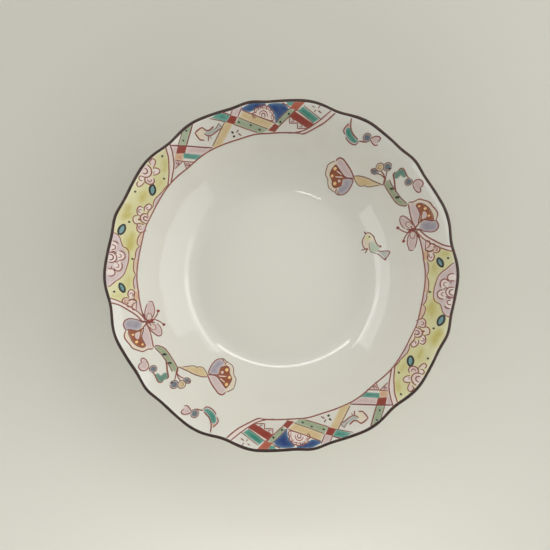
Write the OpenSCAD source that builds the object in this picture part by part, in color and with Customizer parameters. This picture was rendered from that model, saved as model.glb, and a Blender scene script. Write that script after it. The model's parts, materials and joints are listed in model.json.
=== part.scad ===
// Lobed porcelain serving bowl on a turned foot ring, with a brown lip and
// overglaze enamel decoration. Millimetres, +Z up, the foot stands on Z = 0.

/* [Bowl] */
// Mean outer diameter at the lip
rim_d = 180; // [150:1:210]
// Overall height, from the standing face to the top of the lip
bowl_h = 51; // [44:0.5:60]
// Radius of the flat well
well_r = 45.5; // [40:0.5:50]
// Thickness of the floor over the foot recess
floor_t = 4; // [3:0.1:6]
// Thickness of the wall where it leaves the floor
wall_t = 3.8; // [3:0.1:5]
// Thickness of the wall at the lip
lip_t = 1.9; // [1.5:0.1:2.6]

/* [Lobes] */
// Number of petals round the rim
petals = 6; // [4:1:8]
// Direction of one petal tip, in degrees
tip_angle = 40.5; // [0:0.5:90]
// Height of the three lobes that make each petal, at the lip
lobe_wave = 0.61; // [0:0.01:1.2]
// Depth of the notch between petals, added to the lobes
notch_wave = 0.32; // [0:0.01:0.8]
// Sharpness of the petal tips
tip_wave = 0.14; // [0:0.01:0.3]

/* [Foot] */
// Outer diameter of the foot ring where it meets the bowl
foot_d = 85; // [76:0.5:90]
// Height of the foot ring
foot_h = 7; // [4:0.5:10]
// Width of the foot ring where it meets the bowl
foot_w = 5; // [4:0.1:7]
// Width of the bare face that the bowl stands on
stand_w = 2; // [1:0.1:2.5]

/* [Decoration] */
// Radius of the ruled line that ends the painted border
border_r = 75.1; // [70:0.1:80]
// Height that the enamel stands above the glaze
enamel_t = 0.2; // [0.1:0.05:0.3]
// Thickness of the brown glaze on the lip
lip_glaze_t = 0.12; // [0.08:0.01:0.2]

/* [Hidden] */

columns = petals * 20;      // facets round the bowl, so each petal tip has one
floor_steps = 5;            // profile steps across the floor
well_steps = 6;             // profile steps round the edge of the well
wall_steps = 8;             // profile steps up the wall
lip_steps = 6;              // profile steps over the lip
panel_columns = 20;         // facets along an enamel panel
panel_rows = 5;             // facets across an enamel panel
motif_points = 14;          // corners of a painted petal, leaf or berry
fade_power = 2.4;           // how quickly the lobes fade towards the floor
recess_clear = 0.3;         // radius of the chamfers on the standing face

lip_r = lip_t / 2;
floor_z = foot_h + floor_t;
foot_r = foot_d / 2;

// The centre of the round lip, and the direction in which the wall reaches it
lip_slope = 32.3;
lip_c = [rim_d / 2 - lip_r, bowl_h - lip_r];
wall_end = lip_c + lip_r * [-sin(lip_slope), cos(lip_slope)];

porcelain = [0.86, 0.86, 0.82];
biscuit = [0.80, 0.76, 0.68];
brown_glaze = [0.22, 0.16, 0.13];
white_enamel = [0.90, 0.88, 0.84];
yellow_enamel = [0.80, 0.79, 0.48];
lilac_enamel = [0.76, 0.66, 0.70];
green_enamel = [0.55, 0.68, 0.55];
jade_enamel = [0.30, 0.62, 0.55];

// ---- Profile ----

function bezier(p, t) =
    pow(1 - t, 3) * p[0] + 3 * t * pow(1 - t, 2) * p[1]
    + 3 * t * t * (1 - t) * p[2] + t * t * t * p[3];

// A point of the inner wall, from 0 at the edge of the well to 1 at the lip
function wall_point(out, up) =
    [well_r + out * (wall_end.x - well_r), floor_z + up * (wall_end.y - floor_z)];

floor_curve = [[0, floor_z], [well_r / 2, floor_z], [well_r * 0.915, floor_z],
               wall_point(0, 0.017)];
well_curve = [wall_point(0, 0.017), wall_point(0.082, 0.0325),
              wall_point(0.235, 0.118), wall_point(0.440, 0.322)];
wall_curve = [wall_point(0.440, 0.322), wall_point(0.645, 0.526),
              wall_point(0.854, 0.887), wall_point(1, 1)];

function samples(curve, steps, first) =
    [for (i = [first:steps]) bezier(curve, i / steps)];

inner_wall = concat(samples(well_curve, well_steps, 0),
                    samples(wall_curve, wall_steps, 1));
inner_face = concat(samples(floor_curve, floor_steps, 0),
                    samples(well_curve, well_steps, 1),
                    samples(wall_curve, wall_steps, 1));
lip_face = [for (i = [1:lip_steps - 1])
    let (a = 90 + lip_slope - 180 * i / lip_steps)
    lip_c + lip_r * [cos(a), sin(a)]];

// The outer wall follows the inner one at a thickness that grows to the floor
function direction(points, i) =
    let (d = points[min(i + 1, len(points) - 1)] - points[max(i - 1, 0)])
    d / norm(d);
function thickness(i) = wall_t + (lip_t - wall_t) * i / (len(inner_wall) - 1);
outer_wall = [for (i = [len(inner_wall) - 1:-1:0])
    let (d = i == len(inner_wall) - 1 ? [cos(lip_slope), sin(lip_slope)]
                                      : direction(inner_wall, i))
    inner_wall[i] + thickness(i) * [d.y, -d.x]];
underside = [[foot_r + 0.5, foot_h], [foot_r - foot_w, foot_h], [0, foot_h]];
body_profile = concat(inner_face, lip_face, outer_wall, underside);

// ---- Lobes ----

function lobes(a) =
    let (p = petals * (a - tip_angle))
    lobe_wave * cos(3 * p) - notch_wave * cos(2 * p)
    + tip_wave * (cos(5 * p) + 0.36 * cos(6 * p) + 0.29 * cos(7 * p));

function fade(s) =
    pow(max(0, min(1, (s - well_r) / (rim_d / 2 - 1 - well_r))), fade_power);

// A point of a profile, swung to angle a and pushed out by the lobes
function swing(p, a) =
    let (r = p.x + lobes(a) * fade(p.x))
    [r * cos(a), r * sin(a), p.y];

// Height of the inner face over a point of the plan
function face_z(x, y) =
    let (r = norm([x, y]), l = lobes(atan2(y, x)),
         s1 = r - l * fade(r), s2 = r - l * fade(s1))
    lookup(s2, inner_face);

// ---- Solids of revolution with lobes ----

function column_angle(j) = tip_angle + 360 * j / columns;

// Closes a profile whose first and last points lie on the axis
module lobed_solid(profile) {
    rings = len(profile) - 2;
    points = concat(
        [for (i = [1:rings], j = [0:columns - 1]) swing(profile[i], column_angle(j))],
        [[0, 0, profile[0].y], [0, 0, profile[rings + 1].y]]);
    top = rings * columns;
    bottom = top + 1;
    faces = concat(
        [for (j = [0:columns - 1]) [top, (j + 1) % columns, j]],
        [for (i = [0:rings - 2], j = [0:columns - 1])
            let (k = (j + 1) % columns)
            each [[i * columns + j, i * columns + k, (i + 1) * columns + k],
                  [i * columns + j, (i + 1) * columns + k, (i + 1) * columns + j]]],
        [for (j = [0:columns - 1])
            [bottom, (rings - 1) * columns + j, (rings - 1) * columns + (j + 1) % columns]]);
    polyhedron(points, faces, convexity = 6);
}

// Sweeps a closed section round the axis
module lobed_ring(section) {
    n = len(section);
    points = [for (i = [0:n - 1], j = [0:columns - 1]) swing(section[i], column_angle(j))];
    faces = [for (i = [0:n - 1], j = [0:columns - 1])
        let (k = (j + 1) % columns, m = (i + 1) % n)
        each [[i * columns + j, i * columns + k, m * columns + k],
              [i * columns + j, m * columns + k, m * columns + j]]];
    polyhedron(points, faces, convexity = 6);
}

// ---- Enamel ----

// A plate of enamel over a grid of plan points
module enamel_sheet(grid) {
    rows = len(grid);
    cols = len(grid[0]);
    flat = [for (row = grid, p = row) [p.x, p.y, face_z(p.x, p.y)]];
    n = rows * cols;
    points = concat(flat, [for (p = flat) p + [0, 0, enamel_t]]);
    edge = concat([for (j = [0:cols - 2]) j],
                  [for (i = [0:rows - 2]) i * cols + cols - 1],
                  [for (j = [cols - 1:-1:1]) (rows - 1) * cols + j],
                  [for (i = [rows - 1:-1:1]) i * cols]);
    faces = concat(
        [for (i = [0:rows - 2], j = [0:cols - 2])
            let (a = i * cols + j, b = a + 1, c = a + cols + 1, d = a + cols)
            each [[a, c, b], [a, d, c], [n + a, n + b, n + c], [n + a, n + c, n + d]]],
        [for (i = [0:len(edge) - 1])
            let (a = edge[i], b = edge[(i + 1) % len(edge)])
            each [[a, b, n + b], [a, n + b, n + a]]]);
    polyhedron(points, faces, convexity = 4);
}

// A plate of enamel inside one closed outline, which its middle can see all of
module enamel_patch(outline) {
    n = len(outline);
    middle = [for (p = outline) 1] * outline / n;
    flat = [for (p = concat(outline, [middle])) [p.x, p.y, face_z(p.x, p.y)]];
    points = concat(flat, [for (p = flat) p + [0, 0, enamel_t]]);
    faces = [for (i = [0:n - 1])
        let (j = (i + 1) % n, up = n + 1)
        each [[n, i, j], [up + n, up + j, up + i],
              [i, up + i, up + j], [i, up + j, j]]];
    polyhedron(points, [for (f = faces) [f[2], f[1], f[0]]], convexity = 4);
}

function turned(v, a) = [v.x * cos(a) - v.y * sin(a), v.x * sin(a) + v.y * cos(a)];

// An oval stroke of the brush: its middle, half sizes and direction
module oval(at, half, along = 0)
    enamel_patch([for (i = [0:motif_points - 1])
        let (t = 360 * i / motif_points)
        at + turned([half.x * cos(t), half.y * sin(t)], along)]);

// A leaf with a point at each end
module leaf(from, to, width)
    let (d = to - from, side = [-d.y, d.x] / norm(d), half = motif_points / 2)
    enamel_patch(concat(
        [for (i = [0:half - 1]) from + d * i / half - side * width / 2 * sin(180 * i / half)],
        [for (i = [0:half - 1]) to - d * i / half + side * width / 2 * sin(180 * i / half)]));

// A panel of the border, between two angles at its inner edge and two at the lip
module border_panel(inner_angles, lip_angles) {
    outer_s = wall_end.x - 0.3;
    enamel_sheet([for (i = [0:panel_rows])
        let (f = i / panel_rows, s = border_r + f * (outer_s - border_r))
        [for (j = [0:panel_columns])
            let (g = j / panel_columns,
                 a0 = inner_angles[0] + f * (lip_angles[0] - inner_angles[0]),
                 a1 = inner_angles[1] + f * (lip_angles[1] - inner_angles[1]),
                 a = a0 + g * (a1 - a0),
                 r = s + lobes(a) * fade(s))
            [r * cos(a), r * sin(a)]]]);
}

module half_turn() rotate([0, 0, 180]) children();

// ---- Nodes ----

module porcelain_body()
    color(porcelain) lobed_solid(body_profile);

module foot_ring()
    color(biscuit)
    rotate_extrude($fn = 120)
        polygon([
            [foot_r - foot_w, foot_h],
            [foot_r, foot_h],
            [foot_r - 1, stand_w / 2],
            [foot_r - 1 - recess_clear, recess_clear],
            [foot_r - 1 - 2 * recess_clear, 0],
            [foot_r - 1 - 2 * recess_clear - stand_w, 0],
            [foot_r - foot_w + 0.6, stand_w / 2]
        ]);

module lip_band() {
    bare = concat([wall_end], lip_face, [outer_wall[0]]);
    coat = [for (i = [len(bare) - 1:-1:0])
        let (d = direction(bare, i)) bare[i] + lip_glaze_t * [-d.y, d.x]];
    color(brown_glaze) lobed_ring(concat(coat, bare));
}

module lattice_panel() color(white_enamel) border_panel([81.5, 139.5], [71.5, 131]);

module blossom_panel() color(yellow_enamel) border_panel([-39, 13.5], [-48, 7.5]);

module butterfly() color(lilac_enamel) {
    oval([69.5, 24.9], [1.8, 0.7], 30);
    oval([66.3, 28.9], [3.2, 1.6], 140);
    oval([69.2, 18.9], [3.6, 1.6], 92);
    oval([70.3, 32.4], [5.4, 1.8], 102);
    oval([75.9, 24.7], [4.4, 1.7], -12);
    oval([75.4, 31.7], [4.6, 2.4], 115);
}

module flower_spray() {
    color(lilac_enamel) {
        oval([34.7, 58.4], [4.2, 2.3], 118);
        oval([28.5, 55.2], [5.4, 2.6], 80);
        oval([34.5, 49.5], [3.8, 2.7], 55);
        oval([70.7, 47.2], [2.6, 2.2], 90);
    }
    color(green_enamel) {
        leaf([40.0, 53.2], [54.0, 50.0], 4);
        leaf([54.9, 50.4], [65.8, 37.9], 4);
        oval([49.5, 55.0], [1.8, 1.2], -30);
        oval([51.8, 57.7], [1.1, 1.1]);
        oval([55.2, 56.9], [1.8, 1.6], 0);
        oval([61.6, 52.6], [3.2, 1.5], 15);
        oval([66.5, 48.7], [1.7, 1.6]);
    }
}

module bud_sprig() {
    color(jade_enamel) leaf([35.8, 78.3], [40.3, 70.1], 4.4);
    color(lilac_enamel) {
        oval([43.7, 70.6], [1.8, 1.7]);
        oval([48.3, 69.5], [2.5, 2.0], 10);
    }
}

module bird() color(green_enamel) {
    enamel_patch([[45.7, 23.8], [45.1, 19.5], [49.2, 14.5], [52.1, 13.6],
                  [53.8, 16.8], [52.3, 18.1], [50.8, 21.2], [47.8, 23.5]]);
    enamel_patch([[53.7, 13.6], [56.4, 10.2], [58.7, 14.0]]);
}

porcelain_body();
foot_ring();
lip_band();
lattice_panel();  // lattice_panel_back
half_turn() lattice_panel();  // lattice_panel_front
blossom_panel();  // blossom_panel_right
half_turn() blossom_panel();  // blossom_panel_left
butterfly();  // butterfly_right
half_turn() butterfly();  // butterfly_left
flower_spray();  // flower_spray_right
half_turn() flower_spray();  // flower_spray_left
bud_sprig();  // bud_sprig_back
half_turn() bud_sprig();  // bud_sprig_front
bird();
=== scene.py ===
"""Looks for the lobed porcelain serving bowl: clear glaze, brown lip, turned foot and overglaze enamels.

Shapes are worked out in millimetres in the part's own frame and turned to metres when they become meshes.
The painting is real geometry: thin enamel fills, raised brush lines and dots that lie on the inner face.
Every motif is painted twice, half a turn apart, except the one bird at the edge of the well.
"""
import json
import math

import bpy
import numpy as np
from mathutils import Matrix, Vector
from mathutils.geometry import delaunay_2d_cdt

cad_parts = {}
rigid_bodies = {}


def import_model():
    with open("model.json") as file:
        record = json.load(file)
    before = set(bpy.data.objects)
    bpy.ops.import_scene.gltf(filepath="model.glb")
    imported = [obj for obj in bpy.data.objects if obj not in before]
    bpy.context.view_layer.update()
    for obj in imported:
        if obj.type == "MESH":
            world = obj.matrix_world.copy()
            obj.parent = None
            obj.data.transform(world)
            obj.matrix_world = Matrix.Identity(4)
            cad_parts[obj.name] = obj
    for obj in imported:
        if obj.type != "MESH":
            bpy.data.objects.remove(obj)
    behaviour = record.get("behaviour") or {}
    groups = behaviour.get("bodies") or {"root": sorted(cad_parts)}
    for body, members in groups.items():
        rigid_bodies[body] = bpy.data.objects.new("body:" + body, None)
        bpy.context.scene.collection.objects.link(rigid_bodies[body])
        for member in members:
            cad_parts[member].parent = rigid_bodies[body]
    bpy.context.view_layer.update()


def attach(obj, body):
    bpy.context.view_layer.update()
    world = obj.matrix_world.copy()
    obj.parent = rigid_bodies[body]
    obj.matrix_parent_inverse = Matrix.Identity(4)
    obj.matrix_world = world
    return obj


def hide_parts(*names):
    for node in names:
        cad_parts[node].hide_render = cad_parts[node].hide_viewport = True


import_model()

MM = 0.001

# ---- The bowl's shape, the same as in the CAD source ----

PETALS = 6
TIP_ANGLE = 40.5
LOBE_WAVE = 0.61
NOTCH_WAVE = 0.32
TIP_WAVE = 0.14
LIP_R = 0.95
LIP_SLOPE = math.radians(32.3)
RIM_R = 90.0
BOWL_H = 51.0
WELL_R = 45.5
FOOT_H = 7.0
FLOOR_Z = 11.0
WALL_T = 3.8
LIP_T = 2 * LIP_R
FOOT_R = 42.5
FOOT_W = 5.0
BORDER_R = 75.1
FADE_POWER = 2.4

# Worked out from those: the middle of the round lip, the top of the inner wall, and where the paint ends
LIP_CENTRE = np.array([RIM_R - LIP_R, BOWL_H - LIP_R])
WALL_END = LIP_CENTRE + LIP_R * np.array([-math.sin(LIP_SLOPE), math.cos(LIP_SLOPE)])
PAINT_END = WALL_END[0] - 0.1


def lobes(angle):
    """How far the petals push the lip out, at an angle in degrees."""
    p = np.radians(PETALS * (np.asarray(angle) - TIP_ANGLE))
    sharp = np.cos(5 * p) + 0.36 * np.cos(6 * p) + 0.29 * np.cos(7 * p)
    return LOBE_WAVE * np.cos(3 * p) - NOTCH_WAVE * np.cos(2 * p) + TIP_WAVE * sharp


def fade(s):
    """The share of the lobes that is left at profile radius s."""
    return np.clip((np.asarray(s) - WELL_R) / (RIM_R - 1 - WELL_R), 0, 1) ** FADE_POWER


def bezier(p, count):
    """Points along a cubic curve, without its first one."""
    t = np.linspace(0, 1, count + 1)[1:, None]
    p = np.asarray(p, float)
    return (1 - t) ** 3 * p[0] + 3 * t * (1 - t) ** 2 * p[1] + 3 * t * t * (1 - t) * p[2] + t ** 3 * p[3]


def wall_point(out, up):
    """A point of the inner wall, from 0 at the edge of the well to 1 at the lip."""
    return (WELL_R + out * (WALL_END[0] - WELL_R), FLOOR_Z + up * (WALL_END[1] - FLOOR_Z))


def inner_profile():
    """Radius and height of the inner face, from the middle of the floor to the lip."""
    start = wall_point(0, 0.017)
    join = wall_point(0.440, 0.322)
    floor = bezier([(0, FLOOR_Z), (WELL_R / 2, FLOOR_Z), (WELL_R * 0.915, FLOOR_Z), start], 16)
    well = bezier([start, wall_point(0.082, 0.0325), wall_point(0.235, 0.118), join], 30)
    wall = bezier([join, wall_point(0.645, 0.526), wall_point(0.854, 0.887), WALL_END], 32)
    return floor, np.vstack([well, wall])


FLOOR_PART, WALL_PART = inner_profile()
INNER = np.vstack([[(0, FLOOR_Z)], FLOOR_PART, WALL_PART])


def profile_radius(x, y):
    """The profile radius of the inner face under a point of the plan."""
    r = np.hypot(x, y)
    push = lobes(np.degrees(np.arctan2(y, x)))
    s = r
    for _ in range(4):
        s = r - push * fade(s)
    return s


def face_height(x, y):
    """The height of the inner face over a point of the plan."""
    return np.interp(profile_radius(x, y), INNER[:, 0], INNER[:, 1])


def drape(points, lift):
    """Lays plan points on the inner face, raised by lift along its normal."""
    x, y = points[:, 0], points[:, 1]
    reach = 0.05
    z = face_height(x, y)
    dx = (face_height(x + reach, y) - face_height(x - reach, y)) / (2 * reach)
    dy = (face_height(x, y + reach) - face_height(x, y - reach)) / (2 * reach)
    normal = np.stack([-dx, -dy, np.ones_like(z)], 1)
    normal /= np.linalg.norm(normal, axis=1)[:, None]
    return np.stack([x, y, z], 1) + normal * np.broadcast_to(lift, x.shape)[:, None]


# ---- Materials ----

# Soft patches: the noise's detail and span, and how strongly they count in a colour that also pools
PATCH_DETAIL = 3.0
PATCH_LOW = 0.35
PATCH_HIGH = 0.7
PATCH_SHARE = 0.45


def linear(rgb):
    """A colour in 0 to 255 as the linear values that shaders take."""
    c = np.asarray(rgb, float) / 255
    c = np.where(c <= 0.04045, c / 12.92, ((c + 0.055) / 1.055) ** 2.4)
    return (*c, 1.0)


def shader(name, rgb, roughness, coat=0.0, coat_roughness=0.05):
    """A plain material, with a clear coat where it is glazed."""
    material = bpy.data.materials.new(name)
    material.use_nodes = True
    s = material.node_tree.nodes["Principled BSDF"]
    s.inputs["Base Color"].default_value = linear(rgb)
    s.inputs["Roughness"].default_value = roughness
    s.inputs["Coat Weight"].default_value = coat
    s.inputs["Coat Roughness"].default_value = coat_roughness
    s.inputs["Coat IOR"].default_value = 1.5
    return material


def mottle(material, other, scale, pooled=False):
    """Lets the colour drift in soft patches, and where pooled, towards the fill's edges."""
    nodes = material.node_tree.nodes
    links = material.node_tree.links
    s = nodes["Principled BSDF"]
    place = nodes.new("ShaderNodeTexCoord")
    noise = nodes.new("ShaderNodeTexNoise")
    noise.inputs["Scale"].default_value = scale
    noise.inputs["Detail"].default_value = PATCH_DETAIL
    links.new(place.outputs["Object"], noise.inputs["Vector"])
    span = nodes.new("ShaderNodeMapRange")
    span.inputs["From Min"].default_value = PATCH_LOW
    span.inputs["From Max"].default_value = PATCH_HIGH
    links.new(noise.outputs["Fac"], span.inputs["Value"])
    amount = span.outputs["Result"]
    if pooled:
        pool = nodes.new("ShaderNodeAttribute")
        pool.attribute_name = "pool"
        edge = nodes.new("ShaderNodeMath")
        edge.operation = "SUBTRACT"
        edge.inputs[0].default_value = 1.0
        links.new(pool.outputs["Fac"], edge.inputs[1])
        joined = nodes.new("ShaderNodeMath")
        joined.operation = "MULTIPLY_ADD"
        joined.inputs[1].default_value = PATCH_SHARE
        joined.use_clamp = True
        links.new(amount, joined.inputs[0])
        links.new(edge.outputs[0], joined.inputs[2])
        amount = joined.outputs[0]
    mix = nodes.new("ShaderNodeMix")
    mix.data_type = "RGBA"
    mix.inputs["A"].default_value = s.inputs["Base Color"].default_value
    mix.inputs["B"].default_value = linear(other)
    links.new(amount, mix.inputs["Factor"])
    links.new(mix.outputs["Result"], s.inputs["Base Color"])
    return material


def enamel(name, core, edge):
    """A fired enamel, deep in the middle of a stroke and paler where it thins out."""
    base = shader(f"{name}_enamel", core, 0.4, coat=0.4, coat_roughness=0.08)
    return mottle(base, edge, PATCH_SCALES.get(name, 260), pooled=True)


GLAZE = shader("clear_glazed_porcelain", (229, 227, 214), 0.5, coat=1.0, coat_roughness=0.03)
BISCUIT = mottle(shader("bare_foot", (205, 196, 178), 0.85), (186, 172, 150), 500)
BROWN = mottle(shader("iron_brown_glaze", (44, 24, 16), 0.45, coat=0.05, coat_roughness=0.2),
               (70, 40, 28), 320)

# Each enamel's colour in the middle of a pool and where it thins out
ENAMELS = {
    "white": ((224, 220, 207), (229, 226, 214)),
    "yellow": ((218, 213, 156), (228, 222, 182)),
    "mustard": ((194, 180, 84), (217, 211, 153)),
    "ochre": ((212, 184, 134), (222, 204, 164)),
    "orange": ((208, 160, 124), (220, 190, 160)),
    "peach": ((216, 184, 158), (228, 208, 186)),
    "cream": ((226, 210, 182), (232, 220, 200)),
    "pink": ((224, 200, 188), (234, 216, 204)),
    "rose": ((204, 180, 174), (222, 204, 198)),
    "blush": ((236, 218, 208), (234, 222, 210)),
    "lilac": ((207, 185, 182), (221, 205, 199)),
    "mauve": ((206, 182, 177), (217, 198, 192)),
    "lavender": ((148, 144, 156), (188, 178, 180)),
    "slate": ((92, 116, 130), (124, 134, 136)),
    "blue": ((6, 50, 114), (78, 114, 148)),
    "teal": ((46, 130, 110), (108, 163, 147)),
    "verdigris": ((80, 126, 110), (122, 154, 136)),
    "sage": ((150, 166, 130), (174, 184, 156)),
    "leaf_green": ((146, 156, 120), (176, 182, 154)),
    "pale_green": ((180, 194, 166), (198, 206, 182)),
    "grey": ((170, 176, 168), (192, 192, 182)),
    "dark_red": ((142, 46, 32), (152, 62, 44)),
    "bright_red": ((174, 86, 62), (184, 104, 80)),
    "brown": ((146, 72, 36), (160, 96, 60)),
    "gold": ((252, 210, 146), (240, 196, 132)),
    "jade_glass": ((140, 176, 172), (128, 164, 162)),
    "deep_jade": ((86, 144, 146), (116, 160, 160)),
}
PATCH_SCALES = {"yellow": 90, "mustard": 200}
PAINTS = {name: enamel(name, core, edge) for name, (core, edge) in ENAMELS.items()}
PAINTS.update({
    "red": mottle(shader("iron_red_line", (132, 62, 50), 0.5, coat=0.3), (156, 90, 74), 700),
    "maroon": mottle(shader("maroon_line", (116, 48, 44), 0.5, coat=0.3), (134, 62, 52), 500),
    "umber": shader("brown_line", (134, 96, 78), 0.5, coat=0.3),
    "olive": shader("olive_line", (62, 62, 36), 0.5, coat=0.3),
    "black": shader("black_line", (14, 18, 16), 0.4, coat=0.3),
})
PAINT_NAMES = list(PAINTS)


# ---- Meshes ----

def make_piece(name, vertices, faces, materials, material_ids, nodes, pool=None):
    """A smooth mesh in the row frame that rides on the bowl and stands for CAD nodes."""
    mesh = bpy.data.meshes.new(name)
    mesh.from_pydata((np.asarray(vertices) * MM).tolist(), [], faces)
    for material in materials:
        mesh.materials.append(material)
    mesh.polygons.foreach_set("material_index", material_ids)
    mesh.polygons.foreach_set("use_smooth", [True] * len(faces))
    if pool is not None:
        mesh.attributes.new("pool", "FLOAT", "POINT").data.foreach_set("value", pool)
    mesh.update()
    piece = bpy.data.objects.new(name, mesh)
    bpy.context.scene.collection.objects.link(piece)
    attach(piece, "root")
    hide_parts(*nodes)


def swing(profile, columns):
    """Turns a profile round the axis, pushed out by the lobes. It shuts where it meets the axis."""
    angles = TIP_ANGLE + 360 * np.arange(columns) / columns
    push = lobes(angles)
    vertices, faces, rings = [], [], []
    for s, z in profile:
        start = len(vertices)
        if s < 1e-6:
            vertices.append((0, 0, z))
            rings.append([start] * columns)
            continue
        r = s + push * fade(s)
        vertices.extend(zip(r * np.cos(np.radians(angles)), r * np.sin(np.radians(angles)), [z] * columns))
        rings.append(list(range(start, start + columns)))
    for low, high in zip(rings, rings[1:]):
        for j in range(columns):
            k = (j + 1) % columns
            corner = [low[j], low[k], high[k], high[j]]
            faces.append([v for i, v in enumerate(corner) if v != corner[i - 1]])
    return vertices, faces


def lip_arc(radius, count):
    """The round lip, from the inner wall over the top to the outer wall."""
    angles = math.pi / 2 + LIP_SLOPE - math.pi * np.arange(count + 1) / count
    return LIP_CENTRE + radius * np.stack([np.cos(angles), np.sin(angles)], 1)


def outer_profile():
    """The outer wall follows the inner one, thicker towards the foot."""
    steps = np.gradient(WALL_PART, axis=0)
    steps /= np.linalg.norm(steps, axis=1)[:, None]
    thick = np.linspace(WALL_T, LIP_T, len(WALL_PART))[:, None]
    return (WALL_PART + thick * np.stack([steps[:, 1], -steps[:, 0]], 1))[::-1]


def build_bowl():
    """The clear-glazed body, from the middle of the well over the lip to the underside."""
    outer = outer_profile()
    outer = outer[(outer[:, 0] > FOOT_R + 1.6) & (outer[:, 0] < LIP_CENTRE[0] + 0.3)]
    to_foot = bezier([outer[-1], outer[-1] - (1.2, 0.7), (FOOT_R + 0.3, FOOT_H + 1.4), (FOOT_R, FOOT_H)], 8)
    under = [(FOOT_R - 1, FOOT_H), (FOOT_R - FOOT_W - 0.5, FOOT_H), (20, FOOT_H), (0, FOOT_H)]
    profile = np.vstack([INNER, lip_arc(LIP_R, 12)[1:-1], outer, to_foot, under])
    columns = 600
    vertices, faces = swing(profile[::-1], columns)
    make_piece("bowl", vertices, faces, [GLAZE], [0] * len(faces), ["porcelain_body"])


def build_foot():
    """The foot ring, glazed down its sides, with a bare standing face."""
    root = (FOOT_R + 0.02, FOOT_H + 0.6)
    outside = bezier([root, (FOOT_R - 0.1, FOOT_H - 1), (FOOT_R - 0.6, 4), (FOOT_R - 1, 1.2)], 10)
    bare = [(FOOT_R - 1.1, 0.7), (FOOT_R - 1.35, 0.15), (FOOT_R - 1.6, 0), (FOOT_R - 3.6, 0),
            (FOOT_R - 3.85, 0.15), (FOOT_R - 4.15, 0.7)]
    recess = (FOOT_R - 4.2, 1.2)
    inside = bezier([recess, (FOOT_R - 4.6, 4), (FOOT_R - 4.8, 5.6), (FOOT_R - 6.8, FOOT_H + 0.02)], 10)
    profile = np.vstack([[root], outside, bare, [recess], inside])
    columns = 240
    vertices, faces = swing(profile[::-1], columns)
    turned = reversed(range(len(profile) - 1))
    first = len(outside)
    ids = [1 if first <= ring <= first + len(bare) else 0 for ring in turned for _ in range(columns)]
    make_piece("foot", vertices, faces, [GLAZE, BISCUIT], ids, ["foot_ring"])


def build_lip():
    """The brown glaze over the lip and a little way down both faces, with a dipped lip's wandering edges."""
    columns = 720
    angles = np.radians(TIP_ANGLE + 360 * np.arange(columns) / columns)
    push = lobes(np.degrees(angles))
    wander = 0.10 * np.sin(7 * angles + 1) + 0.08 * np.sin(17 * angles + 2.2) + 0.06 * np.sin(41 * angles)
    along = np.array([math.cos(LIP_SLOPE), math.sin(LIP_SLOPE)])
    inward = np.array([-along[1], along[0]])
    down = [(1.0, -0.02), (0.8, 0.05), (0.4, 0.07)]
    rows = []
    for share, skin in down:
        run = (0.10 + wander) * share
        rows.append(LIP_CENTRE + (LIP_R + skin) * inward - run[:, None] * along)
    for point in lip_arc(LIP_R + 0.08, 12):
        rows.append(np.broadcast_to(point, (columns, 2)))
    for share, skin in down[::-1]:
        run = (0.60 + wander) * share
        rows.append(LIP_CENTRE - (LIP_R + skin) * inward - run[:, None] * along)
    vertices, faces = [], []
    for row in rows:
        r = row[:, 0] + push * fade(row[:, 0])
        vertices.extend(zip(r * np.cos(angles), r * np.sin(angles), row[:, 1]))
    for i in range(len(rows) - 1):
        for j in range(columns):
            k = (j + 1) % columns
            faces.append([i * columns + j, (i + 1) * columns + j, (i + 1) * columns + k, i * columns + k])
    make_piece("lip_glaze", vertices, faces, [BROWN], [0] * len(faces), ["lip_band"])


# ---- Brushwork ----

# Spacing of the points along soft curves and straight sides, and of a fill's mesh, small fills being finer
CURVE_STEP = 0.5
SIDE_STEP = 0.8
SMALL_FILL = 14
FINE_PITCH = 0.55
WIDE_PITCH = 1.1
# How far enamel stands off the glaze, how much each layer adds, and how deep its edges reach into it
SKIN = 0.05
LAYER = 0.05
SKIRT = 0.03
ROOT = 0.02
# How far a brush line rises, the length over which its ends thin, and its section, as shares of its half
# width and of its rise
LINE_RISE = 0.07
THIN_RUN = 1.2
LINE_SECTION = [(-1, 0.0), (-0.6, 0.8), (0, 1.0), (0.6, 0.8), (1, 0.0)]
# The rings of a bead above its edge, as shares of its radius and heights over its layer, and its top
BEAD_RINGS = [(0.85, 0.05), (0.45, 0.09)]
BEAD_TOP = 0.1
# Points of a fill that are closer than this become one
SNAP = 1e-5


def smooth(points, closed=False):
    """Points along a soft curve through the given ones."""
    p = np.asarray(points, float)
    if closed:
        p = np.vstack([p[-1:], p, p[:2]])
    else:
        p = np.vstack([2 * p[0] - p[1], p, 2 * p[-1] - p[-2]])
    out = []
    for a, b, c, d in zip(p, p[1:], p[2:], p[3:]):
        count = max(2, int(np.linalg.norm(c - b) / CURVE_STEP))
        for t in np.arange(count) / count:
            out.append(0.5 * (2 * b + (c - a) * t + (2 * a - 5 * b + 4 * c - d) * t ** 2
                              + (3 * b - a - 3 * c + d) * t ** 3))
    if not closed:
        out.append(p[-2])
    return np.array(out)


def straight(points, closed=False):
    """Points along the straight sides between the given corners."""
    p = np.asarray(points, float)
    ends = np.vstack([p[1:], p[:1]]) if closed else p[1:]
    out = []
    for a, b in zip(p, ends):
        count = max(1, int(np.linalg.norm(b - a) / SIDE_STEP))
        out.extend(a + (b - a) * t for t in np.arange(count) / count)
    if not closed:
        out.append(p[-1])
    return np.array(out)


def arc(centre, radius, start, end, across=1.0, tilt=0.0, step=0.4):
    """Points round part of an oval, between two angles in degrees."""
    count = max(6, int(abs(math.radians(end - start)) * radius / step))
    t = np.radians(np.linspace(start, end, count + 1))
    local = np.stack([radius * np.cos(t), radius * across * np.sin(t)], 1)
    c, s = math.cos(math.radians(tilt)), math.sin(math.radians(tilt))
    return np.asarray(centre) + local @ np.array([[c, s], [-s, c]])


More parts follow.
